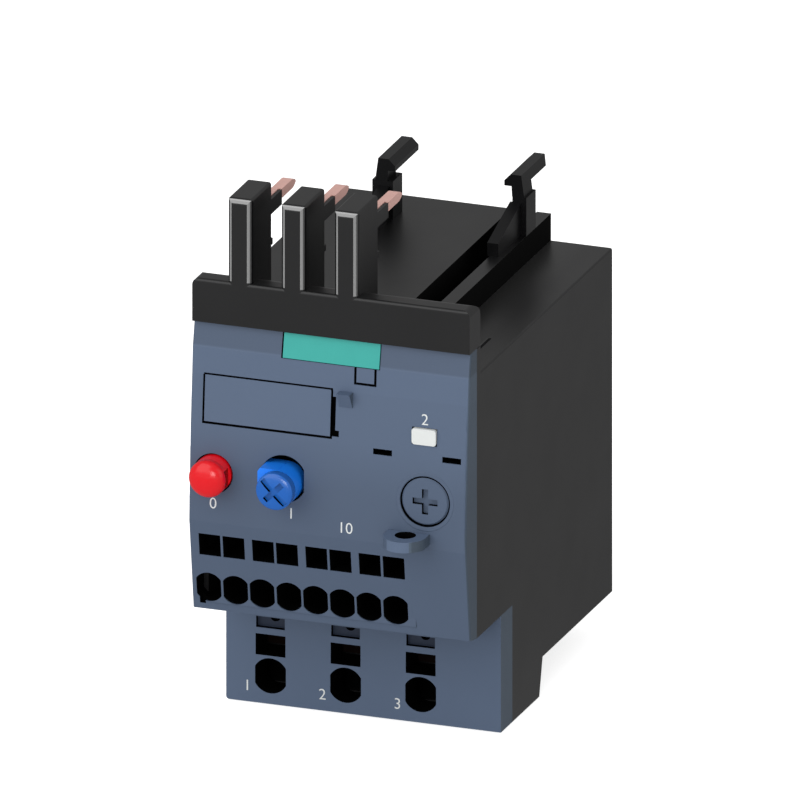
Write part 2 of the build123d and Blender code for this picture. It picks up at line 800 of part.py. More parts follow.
# Current path of each pole
bus_top = seam - cell_floor + seat + bus_thick
for i, x in enumerate(pole_lines):
    number = str(i + 1)
    blade = blade_lines[i]
    with BuildPart() as contact_bar:
        bar_path(i, 0)
        taper_start = front + blade_reach - blade_taper
        level = seam + bar_level
        blade_root = front + prong_depth + arm_length
        with BuildSketch(Plane.YZ.offset(blade - blade_width / 2)):
            with BuildLine():
                Polyline((taper_start, level + bar_thick / 2), (blade_root, level + bar_thick / 2),
                         (blade_root, level - bar_thick / 2), (taper_start, level - bar_thick / 2))
                ThreePointArc((taper_start, level - bar_thick / 2), (taper_start + 1.2, level - 0.6),
                              (front + blade_reach, level - 0.15))
                Line((front + blade_reach, level - 0.15), (front + blade_reach, level + 0.1))
                ThreePointArc((front + blade_reach, level + 0.1), (taper_start + 1.2, level + 0.57),
                              (taper_start, level + bar_thick / 2))
            make_face()
        extrude(amount=blade_width)
    write(contact_bar, "contact_bar_" + number)

    with BuildPart() as bimetal:
        block(x - strip_thick / 2, x + strip_thick / 2, slide_mid - strip_width / 2,
              slide_mid + strip_width / 2, bus_top, seam - strip_top)
    write(bimetal, "bimetal_strip_" + number)

    with BuildPart() as heater:
        inner_x = heater_across / 2 - heater_thick
        for turn in range(turns):
            low = seam - turn_first - turn_height - turn_pitch * turn
            with BuildSketch(Plane.XY.offset(low)):
                with Locations((x, slide_mid)):
                    Rectangle(heater_across, heater_deep)
                    Rectangle(heater_across - 2 * heater_thick, heater_deep - 2 * heater_thick,
                              mode=Mode.SUBTRACT)
            extrude(amount=turn_height)
            if turn < turns - 1:
                side = 1 if turn % 2 else -1
                link = sorted((x + side * inner_x, x + side * (inner_x + heater_thick)))
                block(link[0], link[1], slide_mid - 1, slide_mid + 1, low - turn_pitch + turn_height, low)
        first = seam - turn_first
        lead = front + bar_end - 1
        run = seam - bar_run_drop
        block(x - lead_width / 2, x + lead_width / 2, lead, lead + heater_thick, first - turn_height,
              run - bar_thick / 2)
        block(x - lead_width / 2, x + lead_width / 2, lead, slide_mid - heater_deep / 2 + heater_thick,
              first - turn_height, first - turn_height + heater_thick)
        block(x + strip_thick / 2, x + inner_x, slide_mid - 1, slide_mid + 1, low, low + turn_height)
    write(heater, "heater_winding_" + number)

    with BuildPart() as busbar:
        line = seam - cell_floor + seat + bus_thick / 2
        bent_strip(x, bus_width, (
            (front + tongue_start, seam - tongue_drop),
            (front + riser_set, seam - tongue_drop),
            (front + riser_set, line),
            (slide_mid + strip_width / 2, line),
        ), bus_thick)
    write(busbar, "main_busbar_" + number)

    with BuildPart() as clamp:
        above = seam - tongue_drop + bus_thick / 2 + clamp_thick / 2 + seat
        crown = above + clamp_height
        bent_strip(x, clamp_width, (
            (front + clamp_set + 2.4, above),
            (front + riser_set - bus_thick / 2 - clamp_thick / 2 - gap, above),
            (front + riser_set - bus_thick / 2 - clamp_thick / 2 - gap, crown),
            (front + clamp_set, crown),
            (front + clamp_set, seam - tongue_drop - bus_thick / 2 - 1.6),
        ), clamp_thick)
        block(x - bus_width / 2 - seat, x + bus_width / 2 + seat, front + clamp_set - 1,
              front + clamp_set + 1, seam - tongue_drop - bus_thick / 2 - seat,
              seam - tongue_drop + bus_thick / 2 + seat, Mode.SUBTRACT)
    write(clamp, "main_clamp_" + number)

# Auxiliary terminals
for i, x in enumerate(aux_lines):
    number = str(i + 1)
    tongue = seam - aux_tongue_drop
    with BuildPart() as aux_bar:
        bent_strip(x, aux_riser_width, (
            (front + aux_tongue_start, tongue),
            (front + aux_riser_set, tongue),
            (front + aux_riser_set, seam - aux_riser_top),
        ), aux_bar_thick)
        block(x - aux_bar_width / 2, x + aux_bar_width / 2, front + aux_tongue_start,
              front + aux_riser_set - 2, tongue - aux_bar_thick / 2, tongue + aux_bar_thick / 2)
    write(aux_bar, "aux_busbar_" + number)
    with BuildPart() as aux_clamp:
        above = tongue + aux_bar_thick / 2 + aux_spring / 2 + seat
        crown = above + aux_spring_height
        leg = front + aux_tongue_start + 0.8
        back = front + aux_riser_set - aux_bar_thick / 2 - aux_spring / 2 - gap
        bent_strip(x, aux_spring_width, (
            (leg + 1.4, above),
            (back, above),
            (back, crown),
            (leg, crown),
            (leg, tongue - aux_bar_thick / 2 - 1.4),
        ), aux_spring)
        block(x - aux_bar_width / 2 - seat, x + aux_bar_width / 2 + seat, leg - 0.5, leg + 0.5,
              tongue - aux_bar_thick / 2 - seat, tongue + aux_bar_thick / 2 + seat, Mode.SUBTRACT)
    write(aux_clamp, "aux_clamp_" + number)

# Stop button and its spring
cap_rear = front + gap
with BuildPart() as stop_button:
    dome(stop_x, stop_z, button_radius, front - stop_face, stop_dome, cap_rear)
    rod(stop_x, stop_z, stem_radius, cap_rear, guide_back + seat + collar_thick)
    rod(stop_x, stop_z, stem_radius + collar_rim, guide_back + seat, guide_back + seat + collar_thick)
    notch_in = front - stop_face + stop_dome
    block(stop_x + button_radius - collar_rim, stop_x + button_radius + 1, notch_in, notch_in + stop_notch,
          stop_z - stem_radius, stop_z + stem_radius, Mode.SUBTRACT)
write(stop_button, "stop_button")
with BuildPart() as stop_spring:
    coil(stop_x, stop_z, stem_radius + wire / 2 + gap, cap_rear, guide_front, wire, spring_turns)
write(stop_spring, "stop_spring")

# Reset stem with its keyed body, the knob that turns on it, and the spring
knob_front = front - reset_face
knob_rear = knob_front + knob_length
head_rear = front + head_thick
with BuildPart() as reset_stem:
    rod(reset_x, reset_z, button_radius, knob_rear + seat, head_rear)
    with BuildSketch(Plane.XZ.offset(-(knob_rear + seat))) as key:
        with Locations((reset_x, reset_hole_z)):
            Circle(reset_hole - key_fit)
            with Locations((-(reset_flat - key_fit) / 2, 0)):
                Rectangle(reset_flat - key_fit, 2 * key_half, mode=Mode.INTERSECT)
    extrude(key.sketch, amount=-(head_rear - knob_rear - seat))
    rod(reset_x, reset_z, pivot_radius, knob_rear + seat - pivot_length, knob_rear + seat)
    rod(reset_x, reset_z, stem_radius, head_rear, guide_back + seat + collar_thick)
    rod(reset_x, reset_z, stem_radius + collar_rim, guide_back + seat, guide_back + seat + collar_thick)
write(reset_stem, "reset_stem")
with BuildPart() as reset_knob:
    dome(reset_x, reset_z, button_radius, knob_front, knob_dome, knob_rear)
    rod(reset_x, reset_z, pivot_radius + plate_fit, knob_rear - pivot_length, knob_rear + 1, Mode.SUBTRACT)
    with BuildSketch(Plane.XZ.offset(-knob_front)):
        with Locations((reset_x, reset_z)):
            Rectangle(cross_long, cross_arm, rotation=-45)
            Rectangle(cross_short, cross_arm, rotation=45)
    extrude(amount=-cross_depth, mode=Mode.SUBTRACT)
write(reset_knob, "reset_knob")
with BuildPart() as reset_spring:
    coil(reset_x, reset_z, stem_radius + wire / 2 + gap, head_rear, guide_front, wire, spring_turns)
write(reset_spring, "reset_spring")

# Test button and its spring
test_back = front + test_rear
with BuildPart() as test_button:
    with BuildSketch(Plane.XZ.offset(-(front - test_face))):
        with Locations((test_x, test_z)):
            RectangleRounded(test_width, test_height, test_round)
    extrude(amount=-(test_rear + test_face))
    rod(test_x, test_z, test_stem, test_back, guide_back + seat + collar_thick)
    rod(test_x, test_z, test_stem + collar_rim, guide_back + seat, guide_back + seat + collar_thick)
write(test_button, "test_button")
with BuildPart() as test_spring:
    coil(test_x, test_z, test_stem + small_wire / 2 + seat, test_back, guide_front, small_wire, spring_turns)
write(test_spring, "test_spring")

# Current dial and its cam
with BuildPart() as current_dial:
    dial_front = front - dial_face
    rod(dial_x, dial_z, dial_radius, dial_front, dial_front + dial_thick)
    chamfer(current_dial.edges().sort_by(Axis.Y)[0], dial_bevel)
    rod(dial_x, dial_z, dial_shaft, dial_front + dial_thick, guide_back + seat + cam_thick + gap)
    with BuildSketch(Plane.XZ.offset(-dial_front)):
        with Locations((dial_x, dial_z)):
            Rectangle(dial_cross, dial_arm)
            Rectangle(dial_arm, dial_cross)
    extrude(amount=-dial_cross_depth, mode=Mode.SUBTRACT)
write(current_dial, "current_dial")
with BuildPart() as setting_cam:
    with BuildSketch(Plane.XZ.offset(-(guide_back + seat))):
        with Locations((dial_x + cam_offset, dial_z)):
            Circle(cam_radius + cam_offset)
        with Locations((dial_x, dial_z)):
            Circle(dial_shaft, mode=Mode.SUBTRACT)
    extrude(amount=-cam_thick)
write(setting_cam, "setting_cam")

# Trip slide across the three bimetal strips, with a peg near its end
slide_z = seam - slide_drop
slide_roof = slide_z + slide_thick / 2
peg_x = right - peg_inset
with BuildPart() as trip_slide:
    block(left + slide_start, right - slide_inset, slide_mid - slide_width / 2, slide_mid + slide_width / 2,
          slide_z - slide_thick / 2, slide_roof)
    for x in pole_lines:
        block(x - strip_thick / 2 - slide_travel - gap, x + strip_thick / 2 + gap,
              slide_mid - strip_width / 2 - gap, slide_mid + strip_width / 2 + gap, slide_z - past, slide_z + past,
              Mode.SUBTRACT)
    with BuildSketch(Plane.XY.offset(slide_roof)):
        with Locations((peg_x, slide_mid)):
            Circle(peg_radius)
    extrude(amount=peg_height)
write(trip_slide, "trip_slide")

# Trip pusher: the peg runs in its slanting slot and moves it along the guide pin
plate_low = slide_roof + gap
with BuildPart() as trip_pusher:
    block(right - plate_near, right - plate_far, front + pusher_front, slide_mid + plate_back, plate_low,
          plate_low + slide_thick)
    block(pusher_x - pusher_half, pusher_x + pusher_half, front + pusher_front, front + pusher_back,
          seam - pusher_low, plate_low + slide_thick)
    block(left + arm_tip, pusher_x, pusher_y - arm_across / 2, pusher_y + arm_across / 2,
          seam - arm_low_drop, seam - arm_low_drop + arm_tall)
    rod(pusher_x, pin_z, pin_radius + pin_fit, front + pusher_front - past, front + pusher_back + past,
        Mode.SUBTRACT)
    path_length = hypot(slide_travel, carrier_travel)
    middle = (slide_travel - peg_lead * slide_travel / path_length) / 2
    slant = carrier_travel / slide_travel
    with BuildSketch(Plane.XY.offset(plate_low - past)):
        with Locations((peg_x + middle, slide_mid - middle * slant)):
            SlotCenterToCenter(path_length + peg_lead, 2 * (peg_radius + peg_fit),
                               rotation=-degrees(atan(slant)))
    extrude(amount=slide_thick + 2 * past, mode=Mode.SUBTRACT)
write(trip_pusher, "trip_pusher")
with BuildPart() as pusher_pin:
    rod(pusher_x, pin_z, pin_radius, pin_front, pin_back)
write(pusher_pin, "pusher_pin")

# Contact carrier, its two bridges and its spring
riser_rear = front + aux_riser_set + aux_bar_thick / 2
riser_front = front + aux_riser_set - aux_bar_thick / 2
bridge_z = seam - bridge_drop
closed_front = riser_rear + contact_gap + rivet_thick
open_rear = riser_front - contact_gap - carrier_travel - rivet_thick
carrier_mid = (aux_lines[0] + aux_lines[1]) / 2
open_mid = (aux_lines[2] + aux_lines[3]) / 2
low = bridge_z - bridge_height / 2 - hanger_below
with BuildPart() as contact_carrier:
    block(left + carrier_start, left + carrier_end, front + carrier_front, front + carrier_back,
          seam - carrier_low, seam - carrier_top)
    block(carrier_mid - hanger_width / 2, carrier_mid + hanger_width / 2, closed_front + bridge_thick,
          front + carrier_back, low, seam - carrier_low)
    block(open_mid - hanger_width / 2, open_mid + hanger_width / 2, open_rear - bridge_thick - hanger_thick,
          open_rear - bridge_thick, low, seam - carrier_top)
    block(open_mid - hanger_width / 2, open_mid + hanger_width / 2, open_rear - bridge_thick - hanger_thick,
          front + carrier_front, seam - carrier_low, seam - carrier_top)
    post_x = left + arm_tip
    block(post_x - post_near, post_x + post_far, pusher_y + arm_across / 2 + gap, front + carrier_back,
          seam - arm_low_drop, seam - carrier_low)
write(contact_carrier, "contact_carrier")
span = aux_pitch / 2 + bridge_end
for name, middle, face, side in (
    ("closed_bridge", carrier_mid, closed_front, -1),
    ("open_bridge", open_mid, open_rear - bridge_thick, 1),
):
    with BuildPart() as bridge:
        block(middle - span, middle + span, face, face + bridge_thick, bridge_z - bridge_height / 2,
              bridge_z + bridge_height / 2)
        tip = face - rivet_thick if side < 0 else face + bridge_thick
        for end in (-1, 1):
            rod(middle + end * aux_pitch / 2, bridge_z, rivet_radius, tip, tip + rivet_thick)
    write(bridge, name)
with BuildPart() as carrier_spring:
    coil(left + carrier_coil, seam - (carrier_top + carrier_low) / 2, carrier_coil_radius,
         front + carrier_back, partition_front, small_wire, carrier_turns)
write(carrier_spring, "carrier_spring")
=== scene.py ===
"""Finish, small details and studio of a thermal overload relay."""

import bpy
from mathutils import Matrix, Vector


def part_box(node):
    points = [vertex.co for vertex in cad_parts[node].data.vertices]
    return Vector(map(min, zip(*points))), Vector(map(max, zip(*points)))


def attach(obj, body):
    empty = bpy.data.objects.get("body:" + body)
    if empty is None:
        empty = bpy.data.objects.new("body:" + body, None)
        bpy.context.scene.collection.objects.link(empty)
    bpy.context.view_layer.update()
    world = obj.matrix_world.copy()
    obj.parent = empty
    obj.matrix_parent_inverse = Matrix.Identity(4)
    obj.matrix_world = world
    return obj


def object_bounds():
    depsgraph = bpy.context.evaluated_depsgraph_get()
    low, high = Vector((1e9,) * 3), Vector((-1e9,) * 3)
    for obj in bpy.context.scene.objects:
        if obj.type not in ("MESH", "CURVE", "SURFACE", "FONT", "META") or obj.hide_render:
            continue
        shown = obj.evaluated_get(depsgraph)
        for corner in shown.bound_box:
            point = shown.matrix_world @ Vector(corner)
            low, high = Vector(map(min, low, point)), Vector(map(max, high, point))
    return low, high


bl_info = {
    "name": "Thermal Overload Relay",
    "version": (1, 0, 0),
    "blender": (4, 5, 0),
    "location": "View3D > Sidebar > Relay",
    "description": "Dresses the packed relay with moulded plastic, copper, marks and a studio",
    "category": "Object",
}

from math import atan2, cos, pi, radians, sin

import bpy
from mathutils import Matrix, Vector

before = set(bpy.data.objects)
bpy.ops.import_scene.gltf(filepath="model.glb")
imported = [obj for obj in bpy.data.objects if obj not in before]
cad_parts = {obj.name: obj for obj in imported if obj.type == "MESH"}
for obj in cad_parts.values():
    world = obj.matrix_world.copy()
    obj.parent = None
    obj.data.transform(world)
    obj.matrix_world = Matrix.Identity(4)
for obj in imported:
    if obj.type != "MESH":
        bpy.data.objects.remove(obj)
CAD_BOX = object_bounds()

MM = 0.001

# Datum lines read from the frame, in metres, and the same in millimetres for the materials
COVER_LOW, COVER_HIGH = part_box("front_cover")
CAP_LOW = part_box("top_cap")[0]
LEFT = COVER_LOW.x
RIGHT = COVER_HIGH.x
SEAM = CAP_LOW.z
FRONT = CAP_LOW.y
LEFT_MM, RIGHT_MM, FRONT_MM, SEAM_MM = LEFT / MM, RIGHT / MM, FRONT / MM, SEAM / MM

# Centres, in millimetres from the left side and below the seam
STOP = (3.91, 23.8)
RESET = (15.26, 24.0)
DIAL = (38.25, 24.15)
FIRST_POLE = 7.65
POLE_PITCH = 12.17
# The left edges of the three prongs from the left side, and their width
PRONGS = (5.67, 14.29, 22.91)
PRONG_WIDTH = 4.0
# How far the terminal block's face lies behind the cap's front plane
BLOCK_BACK = 13.9
# The cover's front profile: millimetres below the seam, and behind the cap's front plane
FACE = ((0.0, 0.8), (4.0, 0.0), (8.3, -0.3), (14.0, -0.76), (20.0, -1.15), (26.0, -1.43),
        (31.7, -1.6), (46.5, 0.35))

# The painted shade of the cover and of the block by height: millimetres below the seam, and the
# share of the colour
COVER_PAINTED_SHADE = ((3.6, 0.77), (3.9, 1.0), (8.1, 1.0), (8.4, 0.96), (16.0, 0.96), (24.0, 0.82),
               (46.5, 0.8))
BLOCK_PAINTED_SHADE = ((46.5, 0.9), (54.0, 0.97), (66.5, 0.97))
# Painted shade: the colour's factor on faces that look right
RIGHT_SIDE_PAINTED_SHADE = (0.78, 0.77, 0.68, 1)

# How much the clouds change a plastic's colour and roughness, and how deep its grain is
BLACK_CLOUDS = 0.06
COLOUR_CLOUDS = 0.03
CLOUDY_GLOSS = 0.08
SMOOTH_GLOSS = 0.05
GRAIN = 0.35
GRAIN_DEPTH = 0.012 * MM

# Printed digits on the cover: name, text, and millimetres from the left side and below the seam
COVER_DIGITS = (
    ("digit_stop", "0", 3.95, 28.65),
    ("digit_reset", "1", 16.6, 28.75),
    ("digit_test", "2", 37.94, 11.25),
    ("digits_class", "10", 25.4, 30.0),
)
POLE_DIGIT_LEFT = 3.75
POLE_DIGIT_DROP = 63.4

# Lamps: name, place and target in metres, power in watts, size in metres
LAMPS = (
    ("key", (-0.35, -0.6, 0.45), (0, -0.03, 0), 3.3, 0.8),
    ("front", (0.15, -0.85, 0.17), (0, -0.05, 0), 1.4, 0.22),
    ("fill", (0.7, -0.3, 0.3), (0, -0.03, 0), 0.8, 0.6),
)

FLOOR_SIZE = 6.0

# The camera's angles, its distance, and the frame's centre from the cap's lower left corner
AZIMUTH = radians(20)
ELEVATION = radians(20)
CAMERA_FAR = 1.2
CENTRE_RIGHT = 31.67 * MM
CENTRE_DOWN = 12.08 * MM


def at(across, back, up):
    """A place in millimetres from the left side, the cap's front plane and the seam."""
    return Vector((LEFT + across * MM, FRONT + back * MM, SEAM + up * MM))


def beside(centre, back, right=0.0):
    """A place on a control's axis, or to its right."""
    return at(centre[0] + right, back, -centre[1])


def face_back(drop):
    """How far the cover's face lies behind the cap's front plane, and its tilt, at that drop."""
    for (low, near), (high, far) in zip(FACE, FACE[1:]):
        if drop <= high:
            back = near + (far - near) * (drop - low) / (high - low)
            return back, atan2(near - far, high - low)
    return FACE[-1][1], 0.0


class RelayColours(bpy.types.PropertyGroup):
    black: bpy.props.FloatVectorProperty(
        name="Black", description="Housing plastic", subtype="COLOR", size=3,
        default=(0.0045, 0.0045, 0.005))
    cover: bpy.props.FloatVectorProperty(
        name="Cover", description="Blue-grey cover plastic", subtype="COLOR", size=3,
        default=(0.087, 0.122, 0.19))
    plate: bpy.props.FloatVectorProperty(
        name="Plate", description="Bare teal plate", subtype="COLOR", size=3,
        default=(0.045, 0.35, 0.31))
    red: bpy.props.FloatVectorProperty(
        name="Stop red", description="Stop button", subtype="COLOR", size=3,
        default=(0.7, 0.005, 0.011))
    blue: bpy.props.FloatVectorProperty(
        name="Reset blue", description="Reset knob", subtype="COLOR", size=3,
        default=(0.006, 0.105, 0.44))
    white: bpy.props.FloatVectorProperty(
        name="White", description="Test button and marks", subtype="COLOR", size=3,
        default=(0.66, 0.68, 0.67))
    copper: bpy.props.FloatVectorProperty(
        name="Copper", description="Blades and busbars", subtype="COLOR", size=3,
        default=(0.85, 0.5, 0.44))


class RelaySizes(bpy.types.PropertyGroup):
    mark_height: bpy.props.FloatProperty(
        name="Mark height", description="Height of the printed digits", unit="LENGTH",
        default=1.75 * MM)
    mark_thick: bpy.props.FloatProperty(
        name="Print thickness", description="How far print stands proud", unit="LENGTH",
        default=0.02 * MM)
    view_scale: bpy.props.FloatProperty(
        name="View scale", description="Width that the camera sees", unit="LENGTH",
        default=121.86 * MM)


def colours():
    return bpy.context.scene.relay_colours


def sizes():
    return bpy.context.scene.relay_sizes


class Wire:
    """A shader socket that takes part in arithmetic."""

    def __init__(self, nodes, socket):
        self.nodes = nodes
        self.socket = socket

    def __add__(self, other):
        return self.nodes.math("ADD", self, other)

    __radd__ = __add__

    def __mul__(self, other):
        return self.nodes.math("MULTIPLY", self, other)

    __rmul__ = __mul__

    def __sub__(self, other):
        return self.nodes.math("SUBTRACT", self, other)

    def __rsub__(self, other):
        return self.nodes.math("SUBTRACT", other, self)

    def __gt__(self, other):
        return self.nodes.math("GREATER_THAN", self, other)

    def __lt__(self, other):
        return self.nodes.math("LESS_THAN", self, other)

    def between(self, low, high):
        """One inside a range and nought outside it."""
        return (self > low) * (self < high)

    def dropped(self, high, low):
        """One between two heights, in millimetres below the seam."""
        return self.between(SEAM_MM - low, SEAM_MM - high)


class Nodes:
    """The node tree of a material or of the world."""

    def __init__(self, owner):
        self.owner = owner
        owner.use_nodes = True
        self.tree = owner.node_tree
        self.tree.nodes.clear()

    def add(self, kind, settings=None, values=None, output=0):
        """One node: its settings first, then the values or links of its sockets."""
        node = self.tree.nodes.new(kind)
        for key, value in (settings or {}).items():
            setattr(node, key, value)
        for key, value in (values or {}).items():
            if isinstance(value, Wire):
                self.tree.links.new(value.socket, node.inputs[key])
            else:
                node.inputs[key].default_value = value
        return Wire(self, node.outputs[output])

    def split(self, vector):
        """The three parts of a vector."""
        return [self.add("ShaderNodeSeparateXYZ", None, {0: vector}, axis) for axis in range(3)]

    def millimetres(self):
        """The place on the piece in millimetres, whole and as three wires."""
        place = self.add("ShaderNodeTexCoord", output="Object")
        scaled = self.add("ShaderNodeVectorMath", {"operation": "SCALE"},
                          {0: place, "Scale": 1 / MM})
        return scaled, self.split(scaled)

    def normal(self):
        """The surface's direction on the piece, as three wires."""
        return self.split(self.add("ShaderNodeTexCoord", output="Normal"))

    def math(self, operation, first, second):
        return self.add("ShaderNodeMath", {"operation": operation}, {0: first, 1: second})

    def either(self, first, second):
        """One where at least one of two masks is one."""
        return self.math("MAXIMUM", first, second)

    def ramp(self, value, start, end, low, high):
        """Low at the start and high at the end, held beyond them."""
        values = {"Value": value, "From Min": start, "From Max": end, "To Min": low, "To Max": high}
        return self.add("ShaderNodeMapRange", None, values)

    def profile(self, z, points):
        """The value at each height, from pairs of millimetres below the seam and value."""
        value = points[0][1]
        for (high, first), (low, second) in zip(points, points[1:]):
            value = value + self.ramp(z, SEAM_MM - high, SEAM_MM - low, 0.0, second - first)
        return value

    def noise(self, place, scale, detail=2.0):
        return self.add("ShaderNodeTexNoise", None,
                        {"Vector": place, "Scale": scale, "Detail": detail, "Roughness": 0.5})

    def mix(self, factor, first, second, blend="MIX"):
        """A colour between two, by a factor."""
        settings = {"data_type": "RGBA", "blend_type": blend}
        return self.add("ShaderNodeMix", settings, {0: factor, 6: first, 7: second}, 2)

    def bump(self, height, strength, distance):
        return self.add("ShaderNodeBump", None,
                        {"Height": height, "Strength": strength, "Distance": distance})

    def grain(self, fine):
        """The bump of moulded plastic's spark-eroded grain."""
        return self.bump(fine, GRAIN, GRAIN_DEPTH)

    def tones(self, place, tint, clouds):
        """A colour with slow cloudy changes, the clouds themselves and a fine grain."""
        slow = self.noise(place, 0.09, 3.0)
        fine = self.noise(place, 5.5)
        return self.mix(slow, dim(tint, 1 - clouds), dim(tint, 1 + clouds)), slow, fine

    def either_shader(self, factor, first, second):
        """One shader or the other, by a factor."""
        return self.add("ShaderNodeMixShader", None, {0: factor, 1: first, 2: second})

    def emission(self, strength):
        return self.add("ShaderNodeEmission", None, {"Color": grey(1), "Strength": strength})

    def surface(self, painted_shade=None, black=0.002, **sockets):
        """The principled surface, with painted shade, matt black, where the mask is set;
        underscores stand for sockets' spaces.
        """
        values = {key.replace("_", " "): value for key, value in sockets.items()}
        shader = self.add("ShaderNodeBsdfPrincipled", None, values)
        if painted_shade:
            # Painted shade: a matt black diffuse of this level stands in for the shade in holes and
            # recesses
            dark = self.add("ShaderNodeBsdfDiffuse", None, {"Color": grey(black)})
            shader = self.either_shader(painted_shade, shader, dark)
        return self.end(shader)

    def end(self, shader, kind="ShaderNodeOutputMaterial"):
        """Join the last shader to the output, and give back the material or world."""
        output = self.tree.nodes.new(kind)
        self.tree.links.new(shader.socket, output.inputs["Surface"])
        return self.owner


def material(name):
    return Nodes(bpy.data.materials.new(name))


def grey(level):
    return (level, level, level, 1.0)


def dim(tint, share):
    return (tint[0] * share, tint[1] * share, tint[2] * share, 1.0)


def moulded(name, tint, rough, level):
    """Moulded plastic: a faint grain, with slow changes of tone and gloss."""
    nodes = material(name)
    place, _ = nodes.millimetres()
    base, slow, fine = nodes.tones(place, tint, BLACK_CLOUDS)
    rough = rough + (slow - 0.5) * CLOUDY_GLOSS + (fine - 0.5) * 0.05
    return nodes.surface(Base_Color=base, Roughness=rough, Specular_IOR_Level=level,
                         Normal=nodes.grain(fine))


def housing_plastic(tint):
    """Black plastic with painted light, paler on the shelf near the ridge, and painted shade, black
    down the slot and on right walls.
    """
    # Millimetres from the right side, and for the slot's top and floor below the seam
    painted_light_from, painted_light_to = 10.0, 3.5
    slot_from, slot_to, slot_top, slot_floor = 16.6, 12.3, 0.5, 7.4
    nodes = material("housing_plastic")
    place, (x, _, z) = nodes.millimetres()
    base, slow, fine = nodes.tones(place, tint, BLACK_CLOUDS)
    facing = nodes.normal()
    # Painted light: the shelf's top is made paler towards the ridge, where it lies in shade
    shelf_light_fade = nodes.ramp(x, RIGHT_MM - painted_light_from, RIGHT_MM - painted_light_to, 1.0, 0.0)
    on_shelf = (z < SEAM_MM + 1) * (x > RIGHT_MM - painted_light_from - 0.1)
    shelf = (facing[2] > 0.5) * on_shelf * shelf_light_fade
    base = nodes.mix(shelf, base, grey(0.026))
    # Painted shade: walls that look right, and the slot, turn matt black
    painted_shade_wall = (facing[0] > 0.5) * (x < RIGHT_MM - 1)
    slot = x.between(RIGHT_MM - slot_from, RIGHT_MM - slot_to) * z.dropped(slot_top, slot_floor)
    return nodes.surface(nodes.either(painted_shade_wall, slot), 0.0065, Base_Color=base,
                         Roughness=0.38 + (slow - 0.5) * CLOUDY_GLOSS,
                         Specular_IOR_Level=0.5, Normal=nodes.grain(fine))


def cap_plastic(tint):
    """Black plastic with a painted highlight, pale, round the front radius of each prong above its
    foot.
    """
    # Millimetres behind the front: the painted highlight from, to, to on the left, and where its
    # tone changes
    radius_from, radius_to, radius_left, radius_half = 0.02, 0.43, 0.15, 0.22
    foot = 7.15
    nodes = material("cap_plastic")
    place, (x, y, z) = nodes.millimetres()
    base, slow, fine = nodes.tones(place, tint, BLACK_CLOUDS)
    facing = nodes.normal()
    starts = [LEFT_MM + start for start in PRONGS]
    prong = sum((x.between(start, start + PRONG_WIDTH) for start in starts), 0.0)
    deep = y - FRONT_MM
    reach = radius_to - (facing[0] < -0.1) * (radius_to - radius_left)
    # Painted highlight on each prong's front radius
    edge = (deep > radius_from) * (deep < reach) * (z > SEAM_MM + foot) * prong
    rear_half = deep > radius_half
    # The painted highlight is lighter where the radius looks up than where it looks sideways
    side_highlight = nodes.mix(rear_half, grey(0.22), grey(0.06))
    top_highlight = nodes.mix(rear_half, grey(0.26), grey(0.38))
    base = nodes.mix(edge, base, nodes.mix(facing[2] > 0.3, side_highlight, top_highlight))
    return nodes.surface(Base_Color=base,
                         Roughness=0.38 + (slow - 0.5) * CLOUDY_GLOSS + edge * 0.1,
                         Specular_IOR_Level=0.5, Normal=nodes.grain(fine))


def shaded(nodes, z, base, painted_shade_down):
    """Painted shade: the base colour darkened by its height's tone, and darker on faces that look
    right.
    """
    by_height = nodes.mix(nodes.profile(z, painted_shade_down), (0, 0, 0, 1), base)
    return nodes.mix(nodes.normal()[0] > 0.5, by_height, RIGHT_SIDE_PAINTED_SHADE, "MULTIPLY")


def framed(x, z, plate, left, right, below):
    """One over a plate and a narrow line round it, the mask for painted shade in its groove, with
    the line's widths in millimetres.
    """
    low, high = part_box(plate)
    across = x.between(low.x / MM - left, high.x / MM + right)
    return across * z.between(low.z / MM - below, high.z / MM)


def cover_plastic(tint):
    """Blue-grey plastic with painted shade, black behind the cover's face, down its holes and round
    its plates, painted light on the lug, and darker by height and on the right side.
    """
    # Millimetres: before the cap's front plane, below the seam, and from the right side
    lug_out, lug_top, lug_low = 1.75, 28.9, 31.2
    bore_right, bore_out, bore_square, bore_top, bore_low = 9.25, 3.25, 2.9, 29.25, 30.85
    # How far behind the face, and inside the outline, a surface gets painted shade as a hole or
    # groove
    sunk, side_rim, top_rim, low_rim = 0.14, 0.5, 0.12, 46.3
    nodes = material("cover_plastic")
    place, (x, y, z) = nodes.millimetres()
    base, slow, fine = nodes.tones(place, tint, COLOUR_CLOUDS)
    facing = nodes.normal()
    lug = (y < FRONT_MM - lug_out) * z.dropped(lug_top, lug_low)
    # Painted light: the lug's front and top faces get a lighter copy of the colour
    lit = lug * nodes.either(facing[1] < -0.8, facing[2] > 0.8)
    base = shaded(nodes, z, nodes.mix(lit, base, dim(tint, 1.35)), COVER_PAINTED_SHADE)
    behind = (y - FRONT_MM - nodes.profile(z, FACE)) > sunk
    inside = x.between(LEFT_MM + side_rim, RIGHT_MM - side_rim) * z.dropped(top_rim, low_rim)
    over, out = x - (RIGHT_MM - bore_right), y - (FRONT_MM - bore_out)
    bore = ((over * over + out * out) < bore_square) * z.dropped(bore_top, bore_low)
    # Painted shade: narrow black lines round the label and the name plate
    label = framed(x, z, "label_plate", left=0.36, right=0.3, below=0.42)
    plate = framed(x, z, "name_plate", left=0.3, right=0.12, below=0.15)
    painted_shade = nodes.either(nodes.either(behind * inside, bore), nodes.either(label, plate))
    return nodes.surface(painted_shade, Base_Color=base, Roughness=0.48 + (slow - 0.5) * CLOUDY_GLOSS,
                         Specular_IOR_Level=0.3, Normal=nodes.grain(fine))


